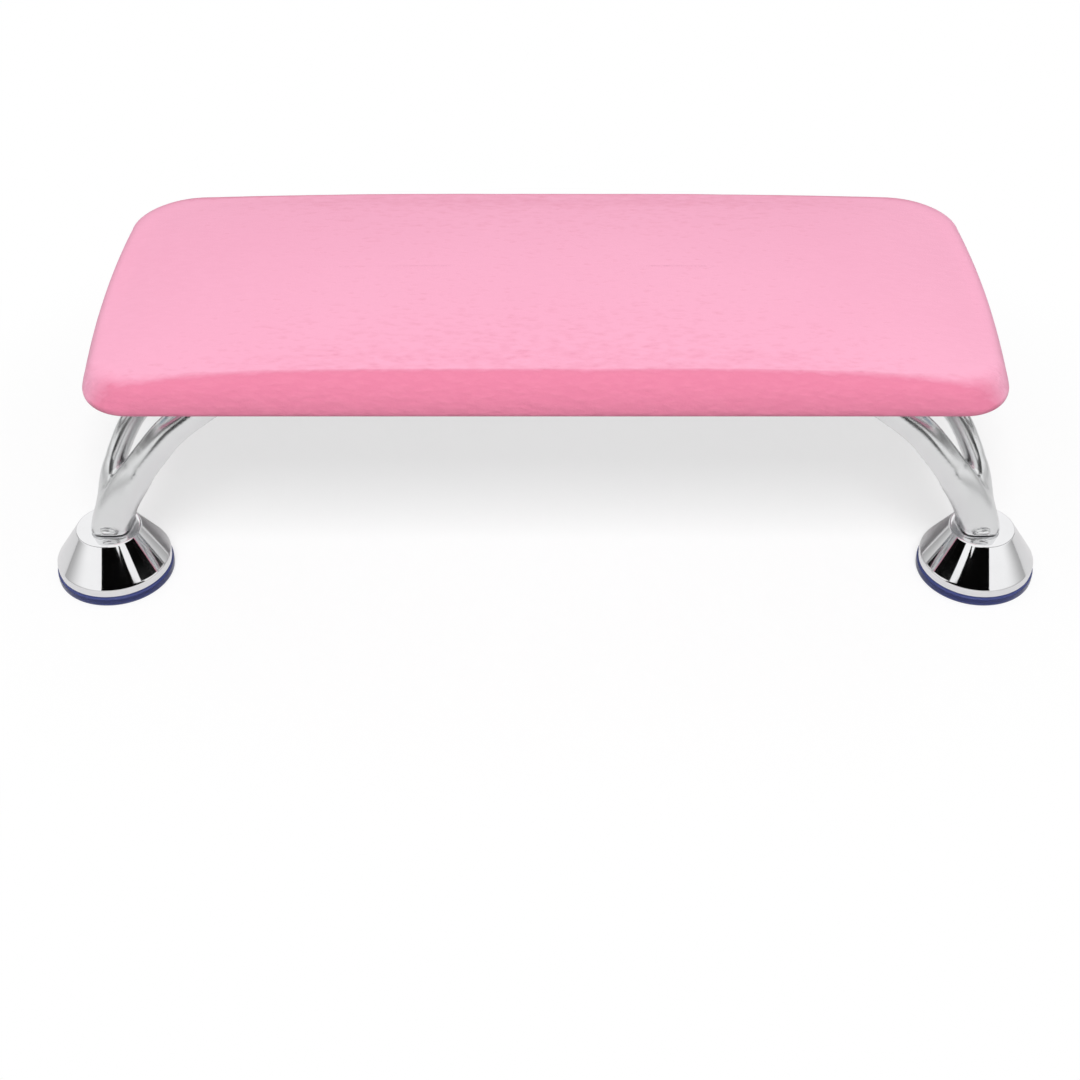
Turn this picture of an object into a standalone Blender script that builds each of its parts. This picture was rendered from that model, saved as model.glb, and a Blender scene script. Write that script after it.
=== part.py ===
"""Manicure hand rest: a padded arm rest on four cast legs with suction feet. Metres, +Z up, front at -Y."""

import math

import bmesh
import bpy
from mathutils import Matrix, Vector

MM = 0.001

# Fits
FIT_GAP = 0.3 * MM
SCREW_CLEARANCE = 0.3 * MM
FOOT_HOLE_CLEARANCE = 0.6 * MM
HEAD_CLEARANCE = 0.6 * MM
CUT_OVERSHOOT = 1 * MM

# Pad, measured over its leather
PAD_LENGTH = 350 * MM
PAD_WIDTH = 145 * MM
PAD_EDGE_HEIGHT = 17.3 * MM
PAD_CROWN = 1.7 * MM
PAD_CORNER_RADIUS = 19 * MM
PAD_TOP_CORNER_RADIUS = 38 * MM
PAD_TOP_ROLL = 9.5 * MM
PAD_TOP_ROLL_DROP = 13 * MM
PAD_ROLL_SQUARENESS = 1.6
LAP_SHARE_OFF_FOOT = 1 / 3
LAP_SHARE_OFF_INSET = 1 / 2
PAD_END_DROP = 3.5 * MM
PAD_END_DROP_START = 0.5
PAD_END_DROP_LEVEL = 0.45
PAD_BOTTOM_ROLL = 2.5 * MM
PAD_END_BOW = 2.1 * MM
CROWN_CORNER_RADIUS = 3 * MM
CROWN_RING_SHARES = (0.2, 0.5, 0.85)
LEATHER_THICKNESS = 1.0 * MM
HEM_WIDTH = 6 * MM
UNDERSIDE_HEIGHT = 80 * MM

# Moulded board under the foam
BOARD_FLOOR = 3 * MM
BOARD_WALL = 2.5 * MM
BOARD_WALL_RISE = 4 * MM
BOSS_RADIUS = 5 * MM
BOSS_RISE = 6 * MM
PANEL_LENGTH = 74 * MM
PANEL_WIDTH = 76 * MM
PANEL_CORNER_RADIUS = 7 * MM
GROOVE_WIDTH = 1.6 * MM
GROOVE_DEPTH = 0.8 * MM

# Feet: how far in from the pad's ends and long sides they stand, and the cup, bell, washer and screw of each
FOOT_FROM_END = 4 * MM
FOOT_FROM_SIDE = 8.5 * MM
CUP_RADIUS = 22.8 * MM
CUP_RIM_WIDTH = 3 * MM
CUP_EDGE_HEIGHT = 3.6 * MM
CUP_HOLLOW_DEPTH = 1.9 * MM
CUP_HUB_RADIUS = 8.5 * MM
CUP_HUB_CHAMFER = 1.5 * MM
CUP_HUB_FLARE = 4 * MM
CUP_HUB_FLARE_RISE = 3 * MM
CUP_CHAMFER = 0.7 * MM
BELL_RADIUS = 22.3 * MM
BELL_TOP_RADIUS = 12.5 * MM
BELL_HEIGHT = 18 * MM
BELL_LIP_HEIGHT = 3.6 * MM
BELL_WALL = 1.3 * MM
BELL_CHAMFER = 0.6 * MM
WASHER_RADIUS = 9.2 * MM
WASHER_THICKNESS = 0.9 * MM
FOOT_SCREW_HEAD_RADIUS = 4.6 * MM
FOOT_SCREW_HEAD_HEIGHT = 2.3 * MM
FOOT_SCREW_RADIUS = 2 * MM
FOOT_SCREW_GRIP = 8.5 * MM
FOOT_SCREW_LIFT = 1.2 * MM

# Screws through the leg plates into the board
MOUNT_SCREW_HEAD_RADIUS = 5 * MM
MOUNT_SCREW_HEAD_HEIGHT = 2.6 * MM
MOUNT_SCREW_RADIUS = 2 * MM
MOUNT_SCREW_GRIP = 7.5 * MM
CROSS_WIDTH = 1.1 * MM
CROSS_DEPTH = 1.3 * MM
HEAD_SHAPE = ((1.0, 0.35), (0.86, 0.75), (0.5, 1.0))

# Cast legs
PLATE_THICKNESS = 2.7 * MM
EAR_RADIUS = 9.3 * MM
PLATE_FROM_MIDDLE = 2.7 * MM
PLATE_NOTCH_REACH = 17 * MM
PLATE_CORNER_REACH = 2 * MM
SPOT_FACE_DEPTH = 0.3 * MM
RIB_THICKNESS = 1.8 * MM
RIB_HEIGHT = 5 * MM
POCKET_REACH = 11 * MM
POST_WIDTH = 16 * MM
POST_DEPTH = 14 * MM
FRONT_ARM_WIDTH = 12 * MM
FRONT_ARM_THICKNESS = 9 * MM
SIDE_ARM_WIDTH = 6.5 * MM
SIDE_ARM_THICKNESS = 7.5 * MM
ARM_RECESS = 0.5 * MM
ARM_RIM = 1.4 * MM
POST_RECESS = 5 * MM
POST_RIM = 2.4 * MM
SIDE_ARM_ROOT_INSET = 1 * MM
SCREW_BOSS_RADIUS = 3.8 * MM
SCREW_BOSS_RISE = 10 * MM
DIMPLE_SIZE = (6 * MM, 2 * MM, 2.8 * MM)
DIMPLE_RISE = 2.6 * MM

# Places that follow from the sizes above
FOOT_X = PAD_LENGTH / 2 - FOOT_FROM_END
FOOT_Y = PAD_WIDTH / 2 - FOOT_FROM_SIDE
BELL_FOOT_Z = CUP_EDGE_HEIGHT + FIT_GAP
BELL_TOP_Z = BELL_FOOT_Z + BELL_HEIGHT
FOOT_SCREW_HEAD_Z = FOOT_SCREW_LIFT + FOOT_SCREW_HEAD_HEIGHT
WASHER_FOOT_Z = FOOT_SCREW_HEAD_Z + FIT_GAP
WASHER_TOP_Z = WASHER_FOOT_Z + WASHER_THICKNESS
WASHER_SEAT_Z = WASHER_TOP_Z + FIT_GAP
POST_FOOT_Z = BELL_TOP_Z + FIT_GAP
PLATE_TOP_Z = UNDERSIDE_HEIGHT - FIT_GAP
PLATE_FACE_Z = PLATE_TOP_Z - PLATE_THICKNESS
SPOT_FACE_Z = PLATE_FACE_Z + SPOT_FACE_DEPTH
ARM_CEILING_Z = PLATE_TOP_Z - PLATE_THICKNESS / 3
PAD_EDGE_Z = UNDERSIDE_HEIGHT + PAD_EDGE_HEIGHT
PAD_ROLL_Z = PAD_EDGE_Z - PAD_TOP_ROLL_DROP
LEATHER_LAP = LEATHER_THICKNESS + FIT_GAP
BOARD_FLOOR_Z = UNDERSIDE_HEIGHT + BOARD_FLOOR
BOARD_RIM_Z = BOARD_FLOOR_Z + BOARD_WALL_RISE
BOSS_TOP_Z = BOARD_FLOOR_Z + BOSS_RISE
BOARD_HOLE_TOP_Z = UNDERSIDE_HEIGHT + MOUNT_SCREW_GRIP + FIT_GAP

# Offsets from a foot's axis, inward along X and Y: the four screws of a leg plate
EAR_FRONT = (83 * MM, 14 * MM)
EAR_MIDDLE = (81 * MM, FOOT_Y - EAR_RADIUS - PLATE_FROM_MIDDLE)
POCKET_SCREW = (58 * MM, 36 * MM)
EAR_OUTER = (11 * MM, 14 * MM)
PLATE_SCREWS = {
    "front_ear": EAR_FRONT,
    "middle_ear": EAR_MIDDLE,
    "pocket": POCKET_SCREW,
    "outer_ear": EAR_OUTER,
}

# Arm centre lines: inward X, inward Y, and how far up from the post's foot to the plate
FRONT_ARM_LINE = (
    (1.2 * MM, 0.0 * MM, 0.0),
    (4.6 * MM, 0.0 * MM, 0.19),
    (12.4 * MM, 1.0 * MM, 0.43),
    (19.5 * MM, 3.4 * MM, 0.60),
    (28.4 * MM, 7.0 * MM, 0.77),
    (41.5 * MM, 11.0 * MM, 0.93),
    (59.0 * MM, 14.0 * MM, 1.12),
)
SIDE_ARM_LINE = (
    (0.8 * MM, 0.6 * MM, 0.03),
    (2.2 * MM, 3.0 * MM, 0.19),
    (3.8 * MM, 6.6 * MM, 0.42),
    (7.8 * MM, 11.0 * MM, 0.61),
    (13.8 * MM, 16.8 * MM, 0.78),
    (25.4 * MM, 26.0 * MM, 0.95),
    (41.0 * MM, 37.0 * MM, 1.14),
)
POST_ACROSS = Vector((1.0, 0.0, 0.0))
LANDING_ACROSS = Vector((0.61, -0.79, 0.0))
POST_SQUARENESS = 4.5
ARM_SQUARENESS = 2.5
ARM_TWIST_END = 0.65
ARM_BLEND_END = 0.4

# Facets
ROUND_STEPS = 30
SCREW_STEPS = 12
PAD_CORNER_STEPS = 8
PAD_END_STEPS = 5
ARC_STEPS = 5
ARM_STATIONS = 15
DOME_STEPS = 6
EAR_STEPS = 7

CORNERS = {
    "front_left": (-1, -1),
    "front_right": (1, -1),
    "rear_left": (-1, 1),
    "rear_right": (1, 1),
}


def clear_scene():
    for obj in list(bpy.data.objects):
        bpy.data.objects.remove(obj, do_unlink=True)


def make_collection(name, hidden):
    collection = bpy.data.collections.new(name)
    bpy.context.scene.collection.children.link(collection)
    collection.hide_render = hidden
    return collection


def make_material(name, colour, roughness, metallic=0.0, alpha=1.0, transmission=0.0):
    material = bpy.data.materials.new(name)
    material.use_nodes = True
    shader = material.node_tree.nodes["Principled BSDF"]
    shader.inputs["Base Color"].default_value = (*colour, 1.0)
    shader.inputs["Roughness"].default_value = roughness
    shader.inputs["Metallic"].default_value = metallic
    shader.inputs["Alpha"].default_value = alpha
    shader.inputs["Transmission Weight"].default_value = transmission
    material.diffuse_color = (*colour, alpha)
    return material


def add_object(name, mesh, collection, material=None):
    obj = bpy.data.objects.new(name, mesh)
    collection.objects.link(obj)
    if material is not None and not mesh.materials:
        mesh.materials.append(material)
    return obj


def mesh_from(bm, name):
    bmesh.ops.recalc_face_normals(bm, faces=bm.faces)
    mesh = bpy.data.meshes.new(name)
    bm.to_mesh(mesh)
    bm.free()
    return mesh


def make_cutter(name, bm):
    cutter = add_object(name, mesh_from(bm, name), CUTTERS)
    cutter.hide_render = True
    cutter.display_type = "WIRE"
    return cutter


def cut(obj, cutter, operation="DIFFERENCE"):
    modifier = obj.modifiers.new(cutter.name, "BOOLEAN")
    modifier.operation = operation
    modifier.solver = "EXACT"
    modifier.use_self = operation == "UNION"
    modifier.object = cutter
    return modifier


def evaluated_mesh(obj):
    """A plain mesh of the object with its modifiers applied."""
    graph = bpy.context.evaluated_depsgraph_get()
    return bpy.data.meshes.new_from_object(obj.evaluated_get(graph), depsgraph=graph)


def smooth(mesh, angle_degrees=35):
    mesh.shade_smooth()
    mesh.set_sharp_from_angle(angle=math.radians(angle_degrees))


def turned_mesh(name, profile, steps, material):
    """A solid of revolution. The profile is (radius, height) points, down its outer side from the top."""
    mesh = bpy.data.meshes.new(name + "_profile")
    count = len(profile)
    touches_axis = profile[0][0] == 0.0 and profile[-1][0] == 0.0
    edges = [(i, i + 1) for i in range(count - 1)]
    if not touches_axis:
        edges.append((count - 1, 0))
    mesh.from_pydata([(radius, 0.0, height) for radius, height in profile], edges, [])
    turned = add_object(name + "_profile", mesh, CUTTERS)
    screw = turned.modifiers.new("Turn", "SCREW")
    screw.steps = steps
    screw.render_steps = steps
    screw.use_merge_vertices = True
    screw.merge_threshold = 0.00001
    screw.use_normal_calculate = True
    result = evaluated_mesh(turned)
    bpy.data.objects.remove(turned, do_unlink=True)
    result.name = name
    bm = bmesh.new()
    bm.from_mesh(result)
    bmesh.ops.recalc_face_normals(bm, faces=bm.faces)
    bm.to_mesh(result)
    bm.free()
    result.materials.append(material)
    return result


def cylinder_bm(radius, low, high, x=0.0, y=0.0):
    bm = bmesh.new()
    bmesh.ops.create_cone(
        bm,
        cap_ends=True,
        segments=SCREW_STEPS,
        radius1=radius,
        radius2=radius,
        depth=high - low,
        matrix=Matrix.Translation((x, y, (low + high) / 2)),
    )
    return bm


def box_bm(size, centre, turn=0.0):
    bm = bmesh.new()
    matrix = Matrix.Translation(centre) @ Matrix.Rotation(turn, 4, "Z") @ Matrix.Diagonal((*size, 1.0))
    bmesh.ops.create_cube(bm, size=1.0, matrix=matrix)
    return bm


def merged(parts):
    """One bmesh with every given bmesh in it."""
    whole = bmesh.new()
    for part in parts:
        mesh = bpy.data.meshes.new("part")
        part.to_mesh(mesh)
        part.free()
        whole.from_mesh(mesh)
        bpy.data.meshes.remove(mesh)
    return whole


def rounded_rectangle(half_x, half_y, radius, height, steps=PAD_CORNER_STEPS):
    """Points of a rounded rectangle, counter-clockwise from the +X side."""
    points = []
    for quarter, (sx, sy) in enumerate(((1, 1), (-1, 1), (-1, -1), (1, -1))):
        for step in range(steps + 1):
            angle = math.pi / 2 * (quarter + step / steps)
            x = sx * (half_x - radius) + radius * math.cos(angle)
            y = sy * (half_y - radius) + radius * math.sin(angle)
            points.append(Vector((x, y, height)))
    return points


def skin_rings(rings, close_bottom, close_top):
    """A bmesh of quads between rings of equal length, with a face over either end if asked."""
    bm = bmesh.new()
    rows = [[bm.verts.new(point) for point in ring] for ring in rings]
    count = len(rows[0])
    for low, high in zip(rows, rows[1:]):
        for i in range(count):
            j = (i + 1) % count
            bm.faces.new((low[i], low[j], high[j], high[i]))
    if close_bottom:
        bm.faces.new(list(reversed(rows[0])))
    if close_top:
        bm.faces.new(rows[-1])
    return bm


def pad_ring(inset, height, corner=PAD_CORNER_RADIUS):
    """The pad's outline drawn in by inset: rounded corners, straight long sides and bowed ends."""
    half_x = PAD_LENGTH / 2 - inset
    half_y = PAD_WIDTH / 2 - inset
    radius = max(corner - inset, CROWN_CORNER_RADIUS)
    straight = half_y - radius
    corners = rounded_rectangle(half_x - PAD_END_BOW, half_y, radius, height)
    per_corner = PAD_CORNER_STEPS + 1
    left_end = []
    right_end = []
    for step in range(1, PAD_END_STEPS):
        along = 1 - 2 * step / PAD_END_STEPS
        reach = half_x - PAD_END_BOW * along ** 2
        left_end.append(Vector((-reach, straight * along, height)))
        right_end.append(Vector((reach, -straight * along, height)))
    return corners[: 2 * per_corner] + left_end + corners[2 * per_corner :] + right_end


def crown_height(inset):
    """How far the domed top stands above its edge, at this distance in from the side."""
    reach = (inset - PAD_TOP_ROLL) / (PAD_WIDTH / 2 - PAD_TOP_ROLL)
    return PAD_CROWN * (1 - (1 - reach) ** 2)


def squared(value, squareness):
    """Sine or cosine for an outline: a squareness of 2 gives an ellipse, less a bevel, more a box."""
    return math.copysign(abs(value) ** (2 / squareness), value)


def sunk_at_ends(ring, share):
    """The ring with its ends lowered, where the cushion's top sinks towards them. share is 1 on top."""
    for point in ring:
        beyond = max(abs(point.x) / (PAD_LENGTH / 2) - PAD_END_DROP_START, 0.0)
        point.z -= PAD_END_DROP * share * (beyond / (1 - PAD_END_DROP_START)) ** 2
    return ring


def roll_span(lap):
    """Foot height and full height of the roll over the top edge, drawn in by lap."""
    foot = PAD_ROLL_Z - lap * LAP_SHARE_OFF_FOOT
    return foot, PAD_EDGE_Z - lap - foot


def roll_ring(lap, angle):
    """A ring on the roll over the top edge, drawn in by lap. angle is 0 at the side and pi / 2 on top."""
    foot, rise = roll_span(lap)
    level = squared(math.sin(angle), PAD_ROLL_SQUARENESS)
    turned_in = 1 - squared(math.cos(angle), PAD_ROLL_SQUARENESS)
    inset = lap + (PAD_TOP_ROLL - lap * LAP_SHARE_OFF_INSET) * turned_in
    share = angle / (math.pi / 2)
    corner = PAD_CORNER_RADIUS + (PAD_TOP_CORNER_RADIUS - PAD_CORNER_RADIUS) * share
    sinking = max(level - PAD_END_DROP_LEVEL, 0.0) / (1 - PAD_END_DROP_LEVEL)
    return sunk_at_ends(pad_ring(inset, foot + rise * level, corner), sinking ** 2)


def roll_ring_at(lap, height):
    """The roll's ring at a height between the roll's foot and the top."""
    foot, rise = roll_span(lap)
    level = (height - foot) / rise
    return roll_ring(lap, math.asin(level ** (PAD_ROLL_SQUARENESS / 2)))


def pad_top_rings(lap, above):
    """Rings from above a height, over the roll and in to the crown, drawn in by lap."""
    rings = [roll_ring(lap, math.pi / 2 * step / (ARC_STEPS + 1)) for step in range(ARC_STEPS + 2)]
    rings = [ring for ring in rings if max(point.z for point in ring) > above]
    for share in CROWN_RING_SHARES:
        inset = PAD_TOP_ROLL + (PAD_WIDTH / 2 - PAD_TOP_ROLL) * share
        ring = pad_ring(inset, PAD_EDGE_Z - lap + crown_height(inset), PAD_TOP_CORNER_RADIUS)
        rings.append(sunk_at_ends(ring, 1.0))
    return rings


def make_pad_cover():
    """The leather: wrapped over top and sides, and hemmed in under the board's edge."""
    rings = [pad_ring(PAD_BOTTOM_ROLL + HEM_WIDTH, UNDERSIDE_HEIGHT)]
    for step in range(ARC_STEPS + 1):
        angle = math.pi / 2 * step / ARC_STEPS
        inset = PAD_BOTTOM_ROLL * (1 - math.sin(angle))
        rings.append(pad_ring(inset, UNDERSIDE_HEIGHT + PAD_BOTTOM_ROLL * (1 - math.cos(angle))))
    rings += pad_top_rings(0.0, UNDERSIDE_HEIGHT + PAD_BOTTOM_ROLL)
    mesh = mesh_from(skin_rings(rings, False, True), "pad_cover")
    cover = add_object("pad_cover", mesh, PARTS, make_material("pink_leather", (0.89, 0.37, 0.52), 0.5))
    shell = cover.modifiers.new("Leather thickness", "SOLIDIFY")
    shell.thickness = LEATHER_THICKNESS
    shell.offset = -1.0
    smooth(mesh)


def boss_cylinders(radius, low, high):
    """One bmesh of an upright cylinder at every leg screw."""
    places = [screw_place(corner, screw) for corner in CORNERS for screw in PLATE_SCREWS]
    return merged([cylinder_bm(radius, low, high, x, y) for x, y in places])


def make_base_board():
    """The white moulded tray that the foam sits in and the legs screw to."""
    lap = LEATHER_LAP
    hem_edge = PAD_BOTTOM_ROLL + HEM_WIDTH + FIT_GAP
    rings = [
        pad_ring(hem_edge, UNDERSIDE_HEIGHT),
        pad_ring(hem_edge, UNDERSIDE_HEIGHT + lap),
        pad_ring(PAD_BOTTOM_ROLL, UNDERSIDE_HEIGHT + lap),
        pad_ring(lap, UNDERSIDE_HEIGHT + PAD_BOTTOM_ROLL),
        roll_ring(lap, 0.0),
        roll_ring_at(lap, BOARD_RIM_Z),
        roll_ring_at(lap + BOARD_WALL, BOARD_RIM_Z),
        roll_ring_at(lap + BOARD_WALL, PAD_ROLL_Z),
        pad_ring(lap + BOARD_WALL, BOARD_FLOOR_Z),
    ]
    mesh = mesh_from(skin_rings(rings, True, True), "base_board")
    board = add_object("base_board", mesh, PARTS, make_material("white_plastic", (0.88, 0.88, 0.9), 0.35))
    bosses = boss_cylinders(BOSS_RADIUS, BOARD_FLOOR_Z - BOARD_FLOOR / 2, BOSS_TOP_Z)
    cut(board, make_cutter("board_bosses", bosses), "UNION")
    cut(board, make_cutter("panel_groove", panel_groove_bm()))
    hole_radius = MOUNT_SCREW_RADIUS + SCREW_CLEARANCE
    holes = boss_cylinders(hole_radius, UNDERSIDE_HEIGHT - CUT_OVERSHOOT, BOARD_HOLE_TOP_Z)
    cut(board, make_cutter("board_screw_holes", holes))
    smooth(mesh)


def band_bm(outer, inner, low, high):
    """A closed band between two outlines of (x, y) points, from low to high."""
    bm = bmesh.new()
    rows = []
    for outline, height in ((outer, low), (outer, high), (inner, high), (inner, low)):
        rows.append([bm.verts.new((point[0], point[1], height)) for point in outline])
    count = len(outer)
    for row, after in zip(rows, rows[1:] + rows[:1]):
        for i in range(count):
            j = (i + 1) % count
            bm.faces.new((row[i], row[j], after[j], after[i]))
    return bm


def panel_groove_bm():
    """The shallow groove around the blank panel in the middle of the board's underside."""
    outlines = []
    for widen in (GROOVE_WIDTH, 0.0):
        half_x = PANEL_LENGTH / 2 + widen
        half_y = PANEL_WIDTH / 2 + widen
        outlines.append(rounded_rectangle(half_x, half_y, PANEL_CORNER_RADIUS + widen, 0.0, ARC_STEPS))
    return band_bm(*outlines, UNDERSIDE_HEIGHT - GROOVE_DEPTH, UNDERSIDE_HEIGHT + GROOVE_DEPTH)


def make_foam_core():
    """The sponge that fills the leather above the board, with pockets over the screw bosses."""
    floor = BOARD_FLOOR_Z + FIT_GAP
    rim = BOARD_RIM_Z + FIT_GAP
    inside_wall = LEATHER_LAP + BOARD_WALL + FIT_GAP
    rings = [
        pad_ring(inside_wall, floor),
        roll_ring_at(inside_wall, PAD_ROLL_Z),
        roll_ring_at(inside_wall, rim),
        roll_ring_at(LEATHER_LAP, rim),
    ]
    rings += pad_top_rings(LEATHER_LAP, rim + FIT_GAP)
    mesh = mesh_from(skin_rings(rings, True, True), "foam_core")
    foam = add_object("foam_core", mesh, PARTS, make_material("foam", (0.9, 0.85, 0.6), 0.95))
    pockets = boss_cylinders(BOSS_RADIUS + FIT_GAP, floor - CUT_OVERSHOOT, BOSS_TOP_Z + FIT_GAP)
    cut(foam, make_cutter("boss_pockets", pockets))
    smooth(mesh)


def screw_mesh(name, head_radius, head_height, shank_radius, grip, material):
    """A pan-head screw, head down, with the head's bearing face at z = 0 and the shank above it."""
    profile = [
        (0.0, grip),
        (shank_radius / 3, grip),
        (shank_radius, grip - shank_radius),
        (shank_radius, 0.0),
        (head_radius, 0.0),
    ]
    profile += [(head_radius * wide, -head_height * deep) for wide, deep in HEAD_SHAPE]
    profile.append((0.0, -head_height))
    body = add_object(name, turned_mesh(name, profile, SCREW_STEPS, material), CUTTERS)
    size = (CROSS_WIDTH, head_radius, CROSS_DEPTH * 2)
    for index, turn in enumerate((0.0, math.pi / 2)):
        cut(body, make_cutter(f"{name}_cross_{index}", box_bm(size, (0.0, 0.0, -head_height), turn)))
    mesh = evaluated_mesh(body)
    mesh.name = name
    bpy.data.objects.remove(body, do_unlink=True)
    smooth(mesh)
    return mesh


def suction_cup_mesh(material):
    """The cup: a hollow rim under the bell, and a hub inside it with the washer's seat below."""
    hub_top = BELL_TOP_Z - BELL_WALL - FIT_GAP
    hole = FOOT_SCREW_RADIUS + FOOT_HOLE_CLEARANCE
    seat_radius = WASHER_RADIUS + FOOT_HOLE_CLEARANCE
    inner_rim = CUP_RADIUS - CUP_RIM_WIDTH
    profile = [
        (hole, hub_top),
        (CUP_HUB_RADIUS - CUP_HUB_CHAMFER, hub_top),
        (CUP_HUB_RADIUS, hub_top - CUP_HUB_CHAMFER),
        (CUP_HUB_RADIUS + CUP_HUB_CHAMFER, CUP_EDGE_HEIGHT + CUP_HUB_FLARE_RISE),
        (CUP_HUB_RADIUS + CUP_HUB_FLARE, CUP_EDGE_HEIGHT),
        (CUP_RADIUS - CUP_CHAMFER, CUP_EDGE_HEIGHT),
        (CUP_RADIUS, CUP_EDGE_HEIGHT - CUP_CHAMFER),
        (CUP_RADIUS, CUP_CHAMFER),
        (CUP_RADIUS - CUP_CHAMFER, 0.0),
        (inner_rim, 0.0),
        ((inner_rim + seat_radius) / 2, CUP_HOLLOW_DEPTH * 0.75),
        (seat_radius, CUP_HOLLOW_DEPTH),
        (seat_radius, WASHER_SEAT_Z),
        (hole, WASHER_SEAT_Z),
    ]
    return turned_mesh("suction_cup", profile, ROUND_STEPS, material)


def washer_mesh(material):
    hole = FOOT_SCREW_RADIUS + SCREW_CLEARANCE
    profile = [
        (hole, WASHER_TOP_Z),
        (WASHER_RADIUS, WASHER_TOP_Z),
        (WASHER_RADIUS, WASHER_FOOT_Z),
        (hole, WASHER_FOOT_Z),
    ]
    return turned_mesh("foot_washer", profile, ROUND_STEPS, material)


def bell_mesh(material):
    """The chrome bell: an upright lip, a cone and a flat top, hollow inside."""
    hole = FOOT_SCREW_RADIUS + FOOT_HOLE_CLEARANCE
    lip_top = BELL_FOOT_Z + BELL_LIP_HEIGHT
    roof = BELL_TOP_Z - BELL_WALL
    profile = [
        (hole, BELL_TOP_Z),
        (BELL_TOP_RADIUS - BELL_CHAMFER, BELL_TOP_Z),
        (BELL_TOP_RADIUS, BELL_TOP_Z - BELL_CHAMFER),
        (BELL_RADIUS - BELL_CHAMFER, lip_top + BELL_CHAMFER),
        (BELL_RADIUS, lip_top),
        (BELL_RADIUS, BELL_FOOT_Z),
        (BELL_RADIUS - BELL_WALL, BELL_FOOT_Z),
        (BELL_RADIUS - BELL_WALL, lip_top - BELL_CHAMFER),
        (BELL_TOP_RADIUS - BELL_WALL, roof),
        (hole, roof),
    ]
    return turned_mesh("foot_bell", profile, ROUND_STEPS, material)


def curve_point(line, share):
    """A point on a smooth curve through the line's points, at a share from 0 to 1 of the way along."""
    last = len(line) - 1
    place = min(share * last, last - 1e-9)
    index = int(place)
    t = place - index
    before = Vector(line[max(index - 1, 0)])
    start = Vector(line[index])
    end = Vector(line[index + 1])
    after = Vector(line[min(index + 2, last)])
    bend = 2 * before - 5 * start + 4 * end - after
    turn = 3 * start - before - 3 * end + after
    return 0.5 * (2 * start + (end - before) * t + bend * t * t + turn * t ** 3)


def arm_point(line, share):
    x, y, rise = curve_point(line, share)
    return Vector((x, y, POST_FOOT_Z + rise * (PLATE_FACE_Z - POST_FOOT_Z)))


def arm_section(width, thickness, recess, rim, squareness):
    """(across, out) points of an arm's section: domed outside, round shoulders, and a recess on the inside."""
    half = width / 2
    back = -thickness / 2
    points = []
    for step in range(DOME_STEPS + 1):
        angle = math.pi * (1 - step / DOME_STEPS)
        across = half * squared(math.cos(angle), squareness)
        points.append((across, back + thickness * squared(math.sin(angle), squareness)))
    points.append((half - rim, back))
    points.append((half - rim * 1.5, back + recess))
    points.append((-half + rim * 1.5, back + recess))
    points.append((-half + rim, back))
    return points


def arm_bm(line, width, thickness, root_inset):
    """An arm lofted along its line, from the post's section to the arm's own, and cut flat in the plate."""
    root_width = POST_WIDTH - 2 * root_inset
    root_depth = POST_DEPTH - 2 * root_inset
    rings = []
    for station in range(ARM_STATIONS):
        share = station / (ARM_STATIONS - 1)
        centre = arm_point(line, share)
        ahead = arm_point(line, min(share + 0.01, 1.0))
        behind = arm_point(line, max(share - 0.01, 0.0))
        tangent = (ahead - behind).normalized()
        if station == 0:
            tangent = Vector((0.0, 0.0, 1.0))
        across = POST_ACROSS.lerp(LANDING_ACROSS, min(share / ARM_TWIST_END, 1.0))
        across = (across - tangent * across.dot(tangent)).normalized()
        out = across.cross(tangent)
        blend = min(share / ARM_BLEND_END, 1.0)
        here_width = root_width + (width - root_width) * blend
        here_depth = root_depth + (thickness - root_depth) * blend
        recess = POST_RECESS + (ARM_RECESS - POST_RECESS) * blend
        rim = POST_RIM + (ARM_RIM - POST_RIM) * blend
        squareness = POST_SQUARENESS + (ARM_SQUARENESS - POST_SQUARENESS) * blend
        section = arm_section(here_width, here_depth, recess, rim, squareness)
        rings.append([centre + across * a + out * b for a, b in section])
    bm = skin_rings(rings, True, True)
    ceiling = Vector((0.0, 0.0, ARM_CEILING_Z))
    whole = bm.verts[:] + bm.edges[:] + bm.faces[:]
    bmesh.ops.bisect_plane(bm, geom=whole, plane_co=ceiling, plane_no=Vector((0.0, 0.0, 1.0)), clear_outer=True)
    bmesh.ops.holes_fill(bm, edges=[edge for edge in bm.edges if edge.is_boundary])
    return bm


def plate_bm():
    """The flat plate with its three ears, as one outline extruded to thickness."""
    ears = [
        (EAR_OUTER, 115, 270),
        (EAR_FRONT, 270, 400),
        (EAR_MIDDLE, 320, 470),
    ]
    points = []
    for (x, y), start, end in ears:
        for step in range(EAR_STEPS + 1):
            angle = math.radians(start + (end - start) * step / EAR_STEPS)
            points.append((x + EAR_RADIUS * math.cos(angle), y + EAR_RADIUS * math.sin(angle)))
        if (x, y) == EAR_FRONT:
            points.append((POCKET_SCREW[0] + PLATE_NOTCH_REACH, (EAR_FRONT[1] + EAR_MIDDLE[1]) / 2))
    points.append((POCKET_SCREW[0] + PLATE_CORNER_REACH, EAR_MIDDLE[1] + EAR_RADIUS * 0.9))
    bm = bmesh.new()
    low = [bm.verts.new((x, y, PLATE_FACE_Z)) for x, y in points]
    high = [bm.verts.new((x, y, PLATE_TOP_Z)) for x, y in points]
    bm.faces.new(low)
    bm.faces.new(list(reversed(high)))
    for i in range(len(points)):
        j = (i + 1) % len(points)
        bm.faces.new((low[i], high[i], high[j], low[j]))
    return bm


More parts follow.
